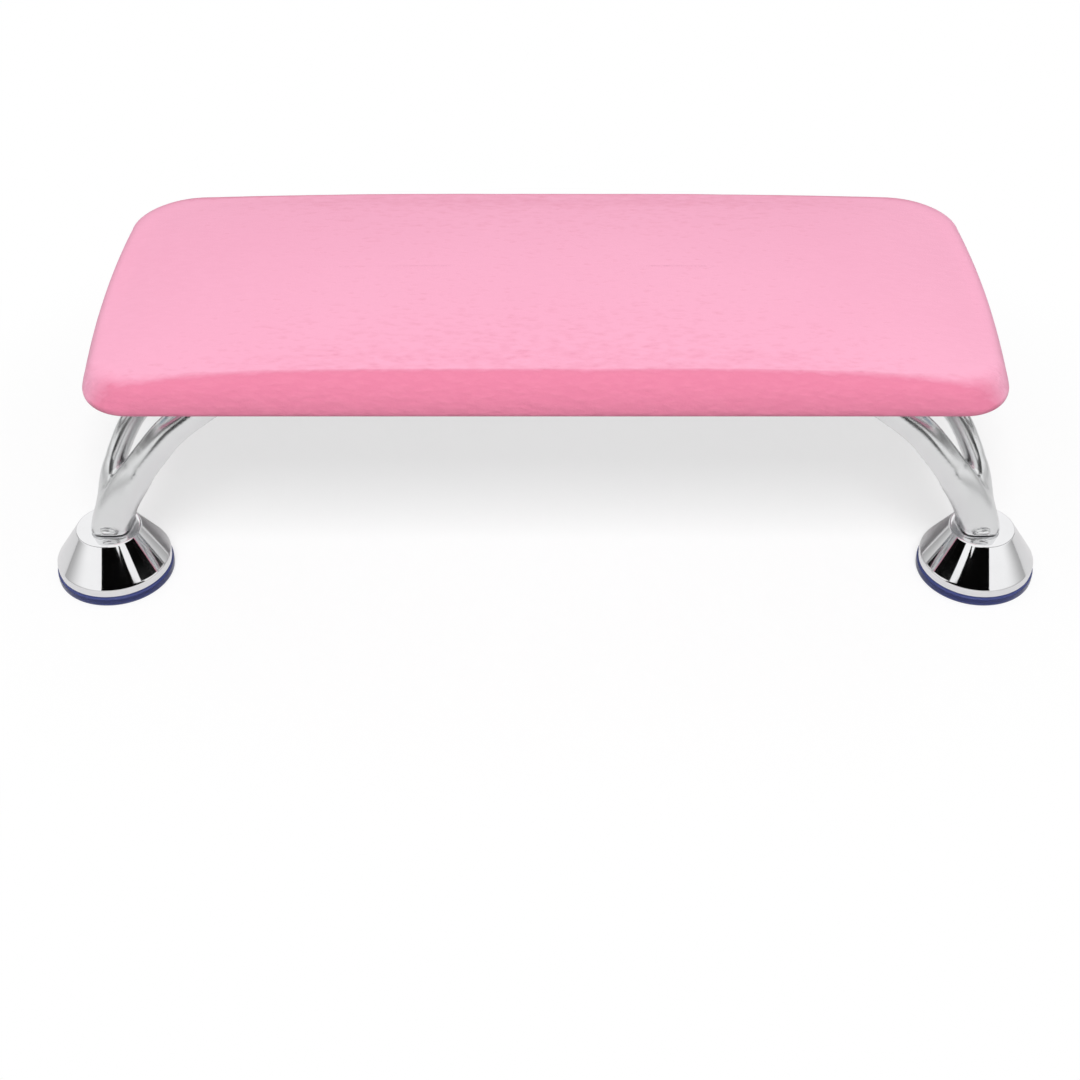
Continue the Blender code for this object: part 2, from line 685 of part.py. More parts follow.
def pocket_walls_bm():
    """The four upright ribs in a diamond under the plate, around the pocket's screw."""
    x, y = POCKET_SCREW
    outlines = []
    for reach in (POCKET_REACH + RIB_THICKNESS, POCKET_REACH):
        outlines.append([(x, y - reach), (x + reach, y), (x, y + reach), (x - reach, y)])
    return band_bm(*outlines, PLATE_FACE_Z - RIB_HEIGHT, PLATE_FACE_Z + PLATE_THICKNESS / 2)


def dimple_bm():
    """The oval hollow low on the front of the post."""
    x, y = FRONT_ARM_LINE[0][:2]
    centre = Vector((x, y - POST_DEPTH / 2, POST_FOOT_Z + DIMPLE_RISE))
    bm = bmesh.new()
    size = Matrix.Diagonal((*DIMPLE_SIZE, 1.0))
    bmesh.ops.create_uvsphere(bm, u_segments=12, v_segments=8, radius=0.5, matrix=Matrix.Translation(centre) @ size)
    return bm


def leg_mesh(name, material):
    """One cast leg about its own foot's axis, reaching inward along +X and +Y."""
    side_arm = arm_bm(SIDE_ARM_LINE, SIDE_ARM_WIDTH, SIDE_ARM_THICKNESS, SIDE_ARM_ROOT_INSET)
    leg = add_object(name, mesh_from(side_arm, name), CUTTERS, material)
    front_arm = arm_bm(FRONT_ARM_LINE, FRONT_ARM_WIDTH, FRONT_ARM_THICKNESS, 0.0)
    cut(leg, make_cutter(name + "_front_arm", front_arm), "UNION")
    cut(leg, make_cutter(name + "_plate", plate_bm()), "UNION")
    boss = cylinder_bm(SCREW_BOSS_RADIUS, POST_FOOT_Z, POST_FOOT_Z + SCREW_BOSS_RISE)
    cut(leg, make_cutter(name + "_boss", boss), "UNION")
    cut(leg, make_cutter(name + "_pocket_walls", pocket_walls_bm()), "UNION")
    hole_radius = MOUNT_SCREW_RADIUS + SCREW_CLEARANCE
    head_radius = MOUNT_SCREW_HEAD_RADIUS + HEAD_CLEARANCE
    head_low = SPOT_FACE_Z - FIT_GAP - MOUNT_SCREW_HEAD_HEIGHT - HEAD_CLEARANCE
    for screw, (x, y) in PLATE_SCREWS.items():
        hole = cylinder_bm(hole_radius, PLATE_FACE_Z, PLATE_TOP_Z + CUT_OVERSHOOT, x, y)
        cut(leg, make_cutter(f"{name}_{screw}_hole", hole))
        head_room = cylinder_bm(head_radius, head_low, SPOT_FACE_Z, x, y)
        cut(leg, make_cutter(f"{name}_{screw}_head_room", head_room))
    pilot_top = POST_FOOT_Z + FOOT_SCREW_GRIP + FIT_GAP
    pilot = cylinder_bm(FOOT_SCREW_RADIUS + SCREW_CLEARANCE, POST_FOOT_Z - CUT_OVERSHOOT, pilot_top)
    cut(leg, make_cutter(name + "_pilot", pilot))
    cut(leg, make_cutter(name + "_dimple", dimple_bm()))
    mesh = evaluated_mesh(leg)
    mesh.name = name
    bpy.data.objects.remove(leg, do_unlink=True)
    smooth(mesh, 40)
    return mesh


def mirrored_mesh(mesh, name):
    """The same mesh reflected across X = 0, with its faces turned to point out again."""
    copy = mesh.copy()
    copy.name = name
    copy.transform(Matrix.Diagonal((-1.0, 1.0, 1.0, 1.0)))
    copy.flip_normals()
    return copy


def screw_place(corner, screw):
    """World X and Y of one leg-plate screw."""
    sx, sy = CORNERS[corner]
    x, y = PLATE_SCREWS[screw]
    return sx * (FOOT_X - x), sy * (FOOT_Y - y)


def make_legs():
    """Left and right castings: each serves one front corner and, turned half round, the opposite rear one."""
    chrome = make_material("chrome_casting", (0.8, 0.8, 0.82), 0.12, 1.0)
    plain = leg_mesh("leg_casting", chrome)
    mirrored = mirrored_mesh(plain, "leg_casting_mirrored")
    for corner, (sx, sy) in CORNERS.items():
        mesh = plain if sx == sy else mirrored
        leg = add_object("leg_" + corner, mesh, PARTS)
        leg.location = (sx * FOOT_X, sy * FOOT_Y, 0.0)
        leg.rotation_euler.z = 0.0 if sy < 0 else math.pi


def make_feet():
    rubber = make_material("clear_blue_vinyl", (0.25, 0.35, 0.75), 0.15, 0.0, 0.5, 0.6)
    chrome = make_material("chrome_foot", (0.82, 0.82, 0.84), 0.08, 1.0)
    zinc = make_material("zinc_foot_hardware", (0.6, 0.65, 0.72), 0.25, 1.0)
    grip = POST_FOOT_Z + FOOT_SCREW_GRIP - FOOT_SCREW_HEAD_Z
    pieces = {
        "suction_cup_": suction_cup_mesh(rubber),
        "foot_bell_": bell_mesh(chrome),
        "foot_washer_": washer_mesh(zinc),
    }
    screw = screw_mesh("foot_screw", FOOT_SCREW_HEAD_RADIUS, FOOT_SCREW_HEAD_HEIGHT, FOOT_SCREW_RADIUS, grip, zinc)
    for mesh in pieces.values():
        smooth(mesh)
    for corner, (sx, sy) in CORNERS.items():
        for prefix, mesh in pieces.items():
            piece = add_object(prefix + corner, mesh, PARTS)
            piece.location = (sx * FOOT_X, sy * FOOT_Y, 0.0)
        piece = add_object("foot_screw_" + corner, screw, PARTS)
        piece.location = (sx * FOOT_X, sy * FOOT_Y, FOOT_SCREW_HEAD_Z)


def make_mount_screws():
    zinc = make_material("blue_zinc", (0.62, 0.68, 0.78), 0.25, 1.0)
    bearing_z = SPOT_FACE_Z - FIT_GAP
    grip = BOARD_HOLE_TOP_Z - FIT_GAP - bearing_z
    mesh = screw_mesh(
        "mount_screw", MOUNT_SCREW_HEAD_RADIUS, MOUNT_SCREW_HEAD_HEIGHT, MOUNT_SCREW_RADIUS, grip, zinc
    )
    for corner in CORNERS:
        for screw in PLATE_SCREWS:
            x, y = screw_place(corner, screw)
            piece = add_object(f"screw_{corner}_{screw}", mesh, PARTS)
            piece.location = (x, y, bearing_z)


clear_scene()
PARTS = make_collection("manicure_hand_rest", False)
CUTTERS = make_collection("cutters", True)
make_pad_cover()
make_base_board()
make_foam_core()
make_legs()
make_feet()
make_mount_screws()
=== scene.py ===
import math

import bmesh
import bpy
from mathutils import Matrix, Vector, noise


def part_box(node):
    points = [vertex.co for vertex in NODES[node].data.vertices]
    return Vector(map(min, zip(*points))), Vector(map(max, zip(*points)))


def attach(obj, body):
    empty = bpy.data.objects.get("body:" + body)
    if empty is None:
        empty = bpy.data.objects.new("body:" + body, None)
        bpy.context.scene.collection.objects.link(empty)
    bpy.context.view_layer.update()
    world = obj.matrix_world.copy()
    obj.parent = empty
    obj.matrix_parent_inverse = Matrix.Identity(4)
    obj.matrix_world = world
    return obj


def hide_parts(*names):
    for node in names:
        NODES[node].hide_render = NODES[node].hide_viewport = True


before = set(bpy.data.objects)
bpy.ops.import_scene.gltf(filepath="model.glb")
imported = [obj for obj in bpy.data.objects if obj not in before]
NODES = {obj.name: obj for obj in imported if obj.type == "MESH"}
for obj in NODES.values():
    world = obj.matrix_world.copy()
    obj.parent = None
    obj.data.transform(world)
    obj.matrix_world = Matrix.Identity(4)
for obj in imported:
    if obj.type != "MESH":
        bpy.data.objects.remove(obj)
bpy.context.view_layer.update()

MM = 0.001
UP = Vector((0.0, 0.0, 1.0))

# Where things stand, as in the CAD
CORNERS = {
    "front_left": (-1, -1),
    "front_right": (1, -1),
    "rear_left": (-1, 1),
    "rear_right": (1, 1),
}
SCREWS = ("front_ear", "middle_ear", "pocket", "outer_ear")
PAD_LOW, PAD_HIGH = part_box("pad_cover")

# Turned outlines: what counts as a long stretch, and how near its ends the holding points sit
STRETCH = 4 * MM
STRETCH_END = 0.3 * MM

# Feet: how finely they are turned, and the spoked washers
BELL_SEGMENTS = 144
CUP_SEGMENTS = 120
WASHER_HOLE = 2.35 * MM
WASHER_SPOKES = 12
WASHER_SPOKE_SHARE = 0.34
WASHER_RECESS_INNER = 5.2 * MM
WASHER_FLANGE = 0.9 * MM
WASHER_RECESS = 0.45 * MM
WASHER_RECESS_STEPS = 4

# Screws: heads, shank, cross recess, and how much further each plate screw is turned than the last
FOOT_SCREW_HEAD = 2.3 * MM
PLATE_SCREW_HEAD = 2.6 * MM
SHANK_RADIUS = 2 * MM
CROSS_WIDTH = 1.05 * MM
CROSS_DEPTH = 1.2 * MM
CROSS_LENGTH_SHARE = 1.05
CROSS_TAPER = 0.75
SCREW_TURN = 0.7

# Leather
SEAM_WIDTH = 6 * MM
LEATHER_THICKNESS = 1 * MM
BOTTOM_ROLL = 2.5 * MM
TOP_ROLL = 9.5 * MM
TOP_ROLL_DROP = 13 * MM
ROLL_SQUARENESS = 1.6
CROWN = 2.5 * MM
CROWN_EASE = 14 * MM
CROWN_START_SHARE = 0.6
CROWN_EDGE_SHARE = 0.7
CROWN_POWER_ALONG = 5
CROWN_POWER_ACROSS = 2.2
END_DROP = 5 * MM
END_DROP_START = 0.2
END_DROP_POWER = 2.5
END_DROP_LEVEL = 0.45
SIDE_CORNER = 19 * MM
TOP_CORNER = 38 * MM
LEAST_CORNER = 3 * MM
END_BOW = 2.1 * MM
MIDDLE_STRIP = 3.2 * MM

# Steps of the leather's mesh
CORNER_STEPS = 16
END_STEPS = 24
SIDE_STEPS = 72
HEM_STEPS = 3
BOTTOM_ROLL_STEPS = 7
TOP_ROLL_STEPS = 20
CROWN_STEPS = 19

# The faint waves of the leather, in waves a metre, and how high up the side they reach their full size
UNEVENNESS = 0.25 * MM
WAVE_RISE = 8 * MM
WAVE_SHARE = 0.6
BROAD_WAVES = 28.0
FINE_WAVES = 75.0
FINE_WAVE_SHARE = 0.5

# The leather's colour: painted shade on the front and back faces, less of it end-on, and more or less of it
# with the folds
END_ON_SHARE = 0.6
FOLD_MIDDLE = 0.3
FOLD_STRAY = 0.35

# Foam: heights over the board's underside, and how far it is drawn in from the pad's outline
FOAM_SEAT_RISE = 7.7 * MM
FOAM_SIDE_RISE = 7.5 * MM
FOAM_SEAT_INSET = 4.5 * MM
FOAM_LAP = 1.4 * MM

# Castings, as in the CAD: sections, and centre lines as inward X, inward Y and rise from post foot to plate
POST_FOOT_Z = 22.2 * MM
PLATE_FACE_Z = 77 * MM
ARM_CEILING_Z = 78.8 * MM
POST_WIDTH = 16 * MM
POST_DEPTH = 14 * MM
FRONT_ARM_WIDTH = 12 * MM
FRONT_ARM_THICKNESS = 9 * MM
SIDE_ARM_WIDTH = 6.5 * MM
SIDE_ARM_THICKNESS = 7.5 * MM
SIDE_ARM_ROOT_INSET = 1 * MM
ARM_RECESS = 0.5 * MM
ARM_RIM = 1.4 * MM
POST_RECESS = 5 * MM
POST_RIM = 2.4 * MM
POST_SQUARENESS = 4.5
ARM_SQUARENESS = 2.5
ARM_TWIST_END = 0.65
ARM_BLEND_END = 0.4
POST_UPRIGHT_END = 0.07
POST_ACROSS = Vector((1.0, 0.0, 0.0))
LANDING_ACROSS = Vector((0.61, -0.79, 0.0))
FRONT_ARM_LINE = (
    (1.2 * MM, 0.0 * MM, 0.0),
    (4.6 * MM, 0.0 * MM, 0.19),
    (12.4 * MM, 1.0 * MM, 0.43),
    (19.5 * MM, 3.4 * MM, 0.60),
    (28.4 * MM, 7.0 * MM, 0.77),
    (41.5 * MM, 11.0 * MM, 0.93),
    (59.0 * MM, 14.0 * MM, 1.12),
)
SIDE_ARM_LINE = (
    (0.8 * MM, 0.6 * MM, 0.03),
    (2.2 * MM, 3.0 * MM, 0.19),
    (3.8 * MM, 6.6 * MM, 0.42),
    (7.8 * MM, 11.0 * MM, 0.61),
    (13.8 * MM, 16.8 * MM, 0.78),
    (25.4 * MM, 26.0 * MM, 0.95),
    (41.0 * MM, 37.0 * MM, 1.14),
)
DIMPLE_CENTRE = Vector((1.2 * MM, -7.2 * MM, 24.9 * MM))
DIMPLE_SIZE = (6.2 * MM, 3.2 * MM, 3.2 * MM)
SKIN = 0.12 * MM
ARM_STATIONS = 90
TANGENT_REACH = 0.01
RECESS_WALL_SHARE = 1.5
DOME_STEPS = 48
CASTING_VOXEL = 0.5 * MM
CASTING_SMOOTHING = 8

# Camera: fitted to the pad's outline and the feet in the photograph
CAMERA_DISTANCE = 0.7798
CAMERA_ELEVATION = math.radians(40.53)
CAMERA_TARGET = Vector((-0.0021, 0.0, -0.04025))
CAMERA_LENS = 58.79
CAMERA_SENSOR = 36.0

# Key lamp, in front of the object: its angle over the horizon, distance, size, power and target
KEY_ELEVATION = math.radians(58)
KEY_DISTANCE = 2.4
KEY_SIZE = 1.1
KEY_POWER = 50.0
KEY_TARGET = Vector((0.0, 0.0, 0.05))

# Floor: how pale it is where it is seen, as a light and to metal. Near the object a share of it is plain
# white, so its shadow is light. From half way out to an ellipse with these half axes it fades to all white.
FLOOR_HALF_SIZE = 6.0
FLOOR_SEEN = 0.97
FLOOR_BOUNCE = 0.6
FLOOR_MIRRORED = 0.8
FLOOR_WHITE_SHARE = 0.64
FLOOR_SHADE_REACH = (0.31, 0.24)
FLOOR_FADE_START = 0.5

# Surround: as a lamp, and as metal sees it near the horizon
WORLD_LIGHT = 0.27
HORIZON_GREY = 0.45
HORIZON_TOP = 0.3

# Black cards in front of the object and at its sides. The bells mirror them as the photo's dark bands.
CARD_BLACK = 0.004
LOW_CARD = (
    (0.0, -0.3, 0.06),
    (0.25, -0.3, 0.06),
    (0.25, -0.3, 0.16),
    (0.145, -0.3, 0.163),
    (0.085, -0.3, 0.157),
    (0.04, -0.3, 0.15),
    (0.02, -0.3, 0.158),
    (0.0, -0.3, 0.172),
)
HIGH_CARD = (
    (0.17, -0.3, 0.172),
    (0.44, -0.3, 0.235),
    (1.0, -0.3, 0.37),
    (1.0, -0.3, 0.55),
    (0.44, -0.3, 0.34),
    (0.17, -0.3, 0.25),
)
SIDE_CARD = ((1.0, -0.3, 0.37), (1.0, 0.45, 0.17), (1.0, 0.45, 0.33), (1.0, -0.3, 0.55))


def srgb(red, green, blue):
    """Linear colour from 0-255 display values."""
    values = [v / 255 for v in (red, green, blue)]
    return tuple(v / 12.92 if v <= 0.04045 else ((v + 0.055) / 1.055) ** 2.4 for v in values)


# Materials


class Nodes:
    """Short calls for building one material's node tree."""

    def __init__(self, name):
        self.material = bpy.data.materials.new(name)
        self.material.use_nodes = True
        self.tree = self.material.node_tree
        self.shader = self.tree.nodes["Principled BSDF"]
        self.place = self.add("ShaderNodeTexCoord").outputs["Object"]

    def add(self, kind, **settings):
        node = self.tree.nodes.new(kind)
        for key, value in settings.items():
            setattr(node, key, value)
        return node

    def link(self, source, target):
        self.tree.links.new(source, target)

    def set(self, **values):
        for key, value in values.items():
            self.shader.inputs[key.replace("_", " ")].default_value = value

    def noise(self, scale, detail=3.0, roughness=0.5, place=None):
        node = self.add("ShaderNodeTexNoise")
        node.inputs["Scale"].default_value = scale
        node.inputs["Detail"].default_value = detail
        node.inputs["Roughness"].default_value = roughness
        self.link(place or self.place, node.inputs["Vector"])
        return node.outputs["Fac"]

    def ramp(self, source, low, high, start=0.0, end=1.0):
        """Maps source from start..end to low..high."""
        node = self.add("ShaderNodeMapRange")
        node.inputs["From Min"].default_value = start
        node.inputs["From Max"].default_value = end
        node.inputs["To Min"].default_value = low
        node.inputs["To Max"].default_value = high
        self.link(source, node.inputs["Value"])
        return node.outputs["Result"]

    def mix(self, factor, first, second):
        node = self.add("ShaderNodeMix", data_type="RGBA")
        self.link(factor, node.inputs["Factor"])
        for colour, socket in ((first, node.inputs[6]), (second, node.inputs[7])):
            if isinstance(colour, tuple):
                socket.default_value = (*colour, 1.0)
            else:
                self.link(colour, socket)
        return node.outputs[2]

    def math(self, operation, first, second):
        node = self.add("ShaderNodeMath", operation=operation)
        for value, socket in ((first, node.inputs[0]), (second, node.inputs[1])):
            if isinstance(value, (int, float)):
                socket.default_value = value
            else:
                self.link(value, socket)
        return node.outputs[0]

    def bump(self, height, strength, distance):
        node = self.add("ShaderNodeBump")
        node.inputs["Strength"].default_value = strength
        node.inputs["Distance"].default_value = distance
        self.link(height, node.inputs["Height"])
        self.link(node.outputs["Normal"], self.shader.inputs["Normal"])

    def colour(self, source):
        self.link(source, self.shader.inputs["Base Color"])

    def roughness(self, source):
        self.link(source, self.shader.inputs["Roughness"])


def pink_leather():
    """Soft grained leather cloth with short slanting wrinkles. Its colour holds painted light and shade:
    paler on top, darker on the front and back faces and in the creases.
    """
    n = Nodes("pink_leather")
    slant = n.add("ShaderNodeMapping")
    slant.inputs["Rotation"].default_value = (0.0, 0.0, math.radians(32))
    slant.inputs["Scale"].default_value = (0.42, 1.0, 0.8)
    n.link(n.place, slant.inputs["Vector"])
    stray = n.add("ShaderNodeTexNoise")
    stray.inputs["Scale"].default_value = 190.0
    stray.inputs["Detail"].default_value = 3.0
    n.link(slant.outputs[0], stray.inputs["Vector"])
    bend = n.add("ShaderNodeVectorMath", operation="MULTIPLY_ADD")
    bend.inputs[1].default_value = (0.0034, 0.0034, 0.0034)
    n.link(stray.outputs["Color"], bend.inputs[0])
    n.link(slant.outputs[0], bend.inputs[2])
    cells = n.add("ShaderNodeTexVoronoi", feature="SMOOTH_F1")
    cells.inputs["Scale"].default_value = 520.0
    cells.inputs["Smoothness"].default_value = 0.6
    n.link(bend.outputs[0], cells.inputs["Vector"])
    wrinkles = n.noise(420.0, 4.0, 0.62, slant.outputs[0])
    raised = n.math("MULTIPLY", wrinkles, 1.1)
    folds = n.math("SUBTRACT", raised, n.math("MULTIPLY", cells.outputs["Distance"], 0.5))
    facing = n.add("ShaderNodeSeparateXYZ")
    n.link(n.add("ShaderNodeTexCoord").outputs["Normal"], facing.inputs[0])
    leaning = n.math("ABSOLUTE", facing.outputs["Y"], 0.0)
    slack = n.ramp(leaning, 0.16, 1.0, 0.06, 0.45)
    grain = n.math("MULTIPLY", n.noise(1500.0, 3.0, 0.6), 0.18)
    height = n.math("ADD", n.math("MULTIPLY", folds, slack), grain)
    broad = n.noise(6.0, 2.0, 0.5)
    top = n.mix(n.ramp(broad, 0.0, 1.0, 0.3, 0.7), srgb(253, 178, 206), srgb(255, 183, 210))
    end_on = n.math("MULTIPLY", n.math("ABSOLUTE", facing.outputs["X"], 0.0), END_ON_SHARE)
    stray_by = n.math("MULTIPLY", n.math("SUBTRACT", folds, FOLD_MIDDLE), FOLD_STRAY)
    strayed = n.math("ADD", leaning, stray_by)
    # Painted shade: faces that look to the front or back are darker than the top, less so at the ends.
    side = n.ramp(n.math("SUBTRACT", strayed, end_on), 0.0, 1.0, 0.03, 0.42)
    side_shaded = n.mix(side, top, srgb(230, 133, 163))
    # Painted shade in the creases between the folds, mostly on the front and back faces.
    crease_shade = n.math("MULTIPLY", n.ramp(folds, 0.0, 0.3, 0.5, 0.2), slack)
    n.colour(n.mix(crease_shade, side_shaded, srgb(222, 122, 154)))
    n.roughness(n.ramp(height, 0.58, 0.46, 0.1, 0.6))
    n.bump(height, 0.75, 0.0006)
    n.set(Specular_IOR_Level=0.35)
    return n.material


def sponge_foam():
    n = Nodes("sponge_foam")
    pores = n.add("ShaderNodeTexVoronoi")
    pores.inputs["Scale"].default_value = 700.0
    n.link(n.place, pores.inputs["Vector"])
    pore_depth_and_shade = n.ramp(pores.outputs["Distance"], 0.0, 1.0, 0.1, 0.5)
    # Painted shade: each pore is darker towards its deep middle. The same value gives the pores their depth
    # in the bump.
    n.colour(n.mix(pore_depth_and_shade, srgb(190, 165, 110), srgb(238, 226, 178)))
    n.bump(pore_depth_and_shade, 0.8, 0.0006)
    n.set(Roughness=0.95, Specular_IOR_Level=0.2)
    return n.material


def white_plastic():
    n = Nodes("white_plastic")
    texture = n.noise(1800.0, 3.0, 0.6)
    broad = n.noise(14.0, 2.0)
    n.colour(n.mix(n.ramp(broad, 0.0, 1.0, 0.35, 0.65), srgb(236, 236, 239), srgb(242, 242, 244)))
    n.roughness(n.ramp(n.noise(40.0), 0.32, 0.42))
    n.bump(texture, 0.12, 0.00008)
    return n.material


def chrome(name, tint, low, high, ripple):
    """Bright plating: a mirror with faint smears, and the slight ripple of what it was plated on."""
    n = Nodes(name)
    smear = n.noise(55.0, 5.0, 0.6)
    n.colour(n.mix(n.ramp(smear, 0.0, 1.0, 0.3, 0.7), tint, tuple(v * 0.95 for v in tint)))
    n.roughness(n.ramp(smear, low, high, 0.3, 0.7))
    n.bump(n.noise(120.0, 2.0), ripple, 0.0004)
    n.set(Metallic=1.0)
    return n.material


def blue_zinc(name):
    """Blue-passivated zinc: pale blue with straw-coloured patches and fine tumbling marks."""
    n = Nodes(name)
    patch = n.ramp(n.noise(420.0, 3.0, 0.6), 0.0, 1.0, 0.35, 0.7)
    n.colour(n.mix(patch, srgb(176, 200, 222), srgb(206, 208, 206)))
    n.roughness(n.ramp(n.noise(900.0), 0.16, 0.34))
    n.bump(n.noise(1600.0), 0.1, 0.00006)
    n.set(Metallic=1.0)
    return n.material


def clear_vinyl():
    """See-through blue vinyl, deeper towards its rim: partly the deeper colour of thick vinyl, partly painted
    shade.
    """
    n = Nodes("clear_vinyl")
    rim_tint_and_shade = n.add("ShaderNodeAttribute", attribute_name="rim")
    cloud = n.ramp(n.noise(160.0, 3.0), 0.85, 1.0, 0.3, 0.7)
    pale = n.mix(cloud, srgb(186, 200, 244), srgb(222, 228, 250))
    # The dark rim is partly thick vinyl's deeper colour and partly painted shade, matching the shaded ring
    # under the bell.
    n.colour(n.mix(rim_tint_and_shade.outputs["Fac"], pale, srgb(46, 56, 124)))
    n.roughness(n.ramp(n.noise(300.0), 0.06, 0.14))
    n.bump(n.noise(220.0, 2.0), 0.15, 0.0003)
    n.set(Transmission_Weight=0.6, IOR=1.42)
    return n.material


LEATHER = pink_leather()
FOAM = sponge_foam()
PLASTIC = white_plastic()
CAST_CHROME = chrome("cast_chrome", (0.84, 0.845, 0.85), 0.2, 0.27, 0.03)
SPUN_CHROME = chrome("spun_chrome", (0.88, 0.88, 0.89), 0.03, 0.07, 0.02)
FOOT_ZINC = blue_zinc("foot_zinc")
SCREW_ZINC = blue_zinc("screw_zinc")
VINYL = clear_vinyl()


# Meshes


def piece(name, mesh, material, slot, *nodes, location=(0.0, 0.0, 0.0), turn=0.0):
    """A finished piece of the object that stands for the given CAD nodes."""
    obj = bpy.data.objects.new(name, mesh)
    bpy.context.scene.collection.objects.link(obj)
    obj.location = location
    obj.rotation_euler.z = turn
    if not mesh.materials:
        mesh.materials.append(material)
    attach(obj, "root")
    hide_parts(*nodes)
    return obj


def applied(mesh, *modifiers):
    """The mesh after these modifiers, each (kind, settings), as a new mesh."""
    obj = bpy.data.objects.new("making", mesh)
    bpy.context.scene.collection.objects.link(obj)
    for kind, settings in modifiers:
        modifier = obj.modifiers.new(kind, kind)
        for key, value in settings.items():
            setattr(modifier, key, value)
    graph = bpy.context.evaluated_depsgraph_get()
    result = bpy.data.meshes.new_from_object(obj.evaluated_get(graph), depsgraph=graph)
    bpy.data.objects.remove(obj)
    return result


def finished(bm, name, angle=35):
    """A mesh from bm, shaded smooth with edges sharper than angle kept."""
    bmesh.ops.recalc_face_normals(bm, faces=bm.faces)
    mesh = bpy.data.meshes.new(name)
    bm.to_mesh(mesh)
    bm.free()
    mesh.shade_smooth()
    mesh.set_sharp_from_angle(angle=math.radians(angle))
    return mesh


def eased(outline, radius, steps=5):
    """The outline with each inner corner drawn as a curve that starts radius away from it."""
    points = [Vector(outline[0])]
    for before, corner, after in zip(outline, outline[1:], outline[2:]):
        corner = Vector(corner)
        back = Vector(before) - corner
        ahead = Vector(after) - corner
        start = corner + back.normalized() * min(radius, back.length * 0.45)
        end = corner + ahead.normalized() * min(radius, ahead.length * 0.45)
        for step in range(steps + 1):
            t = step / steps
            points.append(start * (1 - t) ** 2 + corner * 2 * t * (1 - t) + end * t * t)
    points.append(Vector(outline[-1]))
    return points


def held_straight(outline):
    """The outline with points near the ends of each long stretch, so that its shading stays straight."""
    points = [Vector(point) for point in outline]
    held = []
    for start, end in zip(points, points[1:] + points[:1]):
        held.append(tuple(start))
        if (end - start).length > STRETCH:
            step = (end - start).normalized() * STRETCH_END
            held += [tuple(start + step), tuple(end - step)]
    return held


def turned(outline, closed, steps=96):
    """A bmesh of the (radius, height) outline turned about Z. A closed outline makes a ring with a hole."""
    bm = bmesh.new()
    rows = []
    for radius, height in outline:
        if radius < 1e-9:
            rows.append([bm.verts.new((0.0, 0.0, height))] * steps)
            continue
        angles = [2 * math.pi * i / steps for i in range(steps)]
        rows.append([bm.verts.new((radius * math.cos(a), radius * math.sin(a), height)) for a in angles])
    pairs = list(zip(rows, rows[1:]))
    if closed:
        pairs.append((rows[-1], rows[0]))
    for upper, lower in pairs:
        for i in range(steps):
            j = (i + 1) % steps
            corners = []
            for vert in (upper[i], lower[i], lower[j], upper[j]):
                if vert not in corners:
                    corners.append(vert)
            if len(corners) > 2:
                bm.faces.new(corners)
    return bm


def squared(value, squareness):
    """Sine or cosine for an outline that is an ellipse at a squareness of 2, and fuller above that."""
    return math.copysign(abs(value) ** (2 / squareness), value)


def pad_outline(inset, corner):
    """(x, y) points of the pad's outline drawn in by inset, evenly spaced along each stretch."""
    half_x = (PAD_HIGH.x - PAD_LOW.x) / 2 - inset
    half_y = (PAD_HIGH.y - PAD_LOW.y) / 2 - inset
    radius = max(corner - inset, LEAST_CORNER)
    points = []
    for quarter, (sx, sy) in enumerate(((1, 1), (-1, 1), (-1, -1), (1, -1))):
        centre = Vector((sx * (half_x - END_BOW - radius), sy * (half_y - radius)))
        arc = [math.pi / 2 * (quarter + step / CORNER_STEPS) for step in range(CORNER_STEPS + 1)]
        points += [centre + radius * Vector((math.cos(a), math.sin(a))) for a in arc]
        along_end = quarter % 2
        span = (half_y - radius) if along_end else (half_x - END_BOW - radius)
        count = END_STEPS if along_end else SIDE_STEPS
        for step in range(1, count):
            along = 1 - 2 * step / count
            if along_end:
                reach = half_x - END_BOW * along ** 2
                points.append(Vector((sx * reach, sy * span * along)))
            else:
                points.append(Vector((sx * span * along, sy * half_y)))
    return points


def crown(x, y, inset):
    """Height of the domed top over its edge: level along the pad's middle, falling away at sides and ends."""
    along = x / ((PAD_HIGH.x - PAD_LOW.x) / 2 - TOP_ROLL * CROWN_EDGE_SHARE)
    across = y / ((PAD_HIGH.y - PAD_LOW.y) / 2 - TOP_ROLL * CROWN_EDGE_SHARE)
    ease = min(max((inset - TOP_ROLL * CROWN_START_SHARE) / CROWN_EASE, 0.0), 1.0)
    dome = max(1 - abs(along) ** CROWN_POWER_ALONG, 0.0) * max(1 - abs(across) ** CROWN_POWER_ACROSS, 0.0)
    return CROWN * dome * ease * ease * (3 - 2 * ease)


def sunk(x, level):
    """How far the cushion has sunk here towards its ends. level is 0 at the roll's foot and 1 on top."""
    beyond = max(abs(x) / PAD_HIGH.x - END_DROP_START, 0.0) / (1 - END_DROP_START)
    share = max(level - END_DROP_LEVEL, 0.0) / (1 - END_DROP_LEVEL)
    return END_DROP * beyond ** END_DROP_POWER * share ** 2


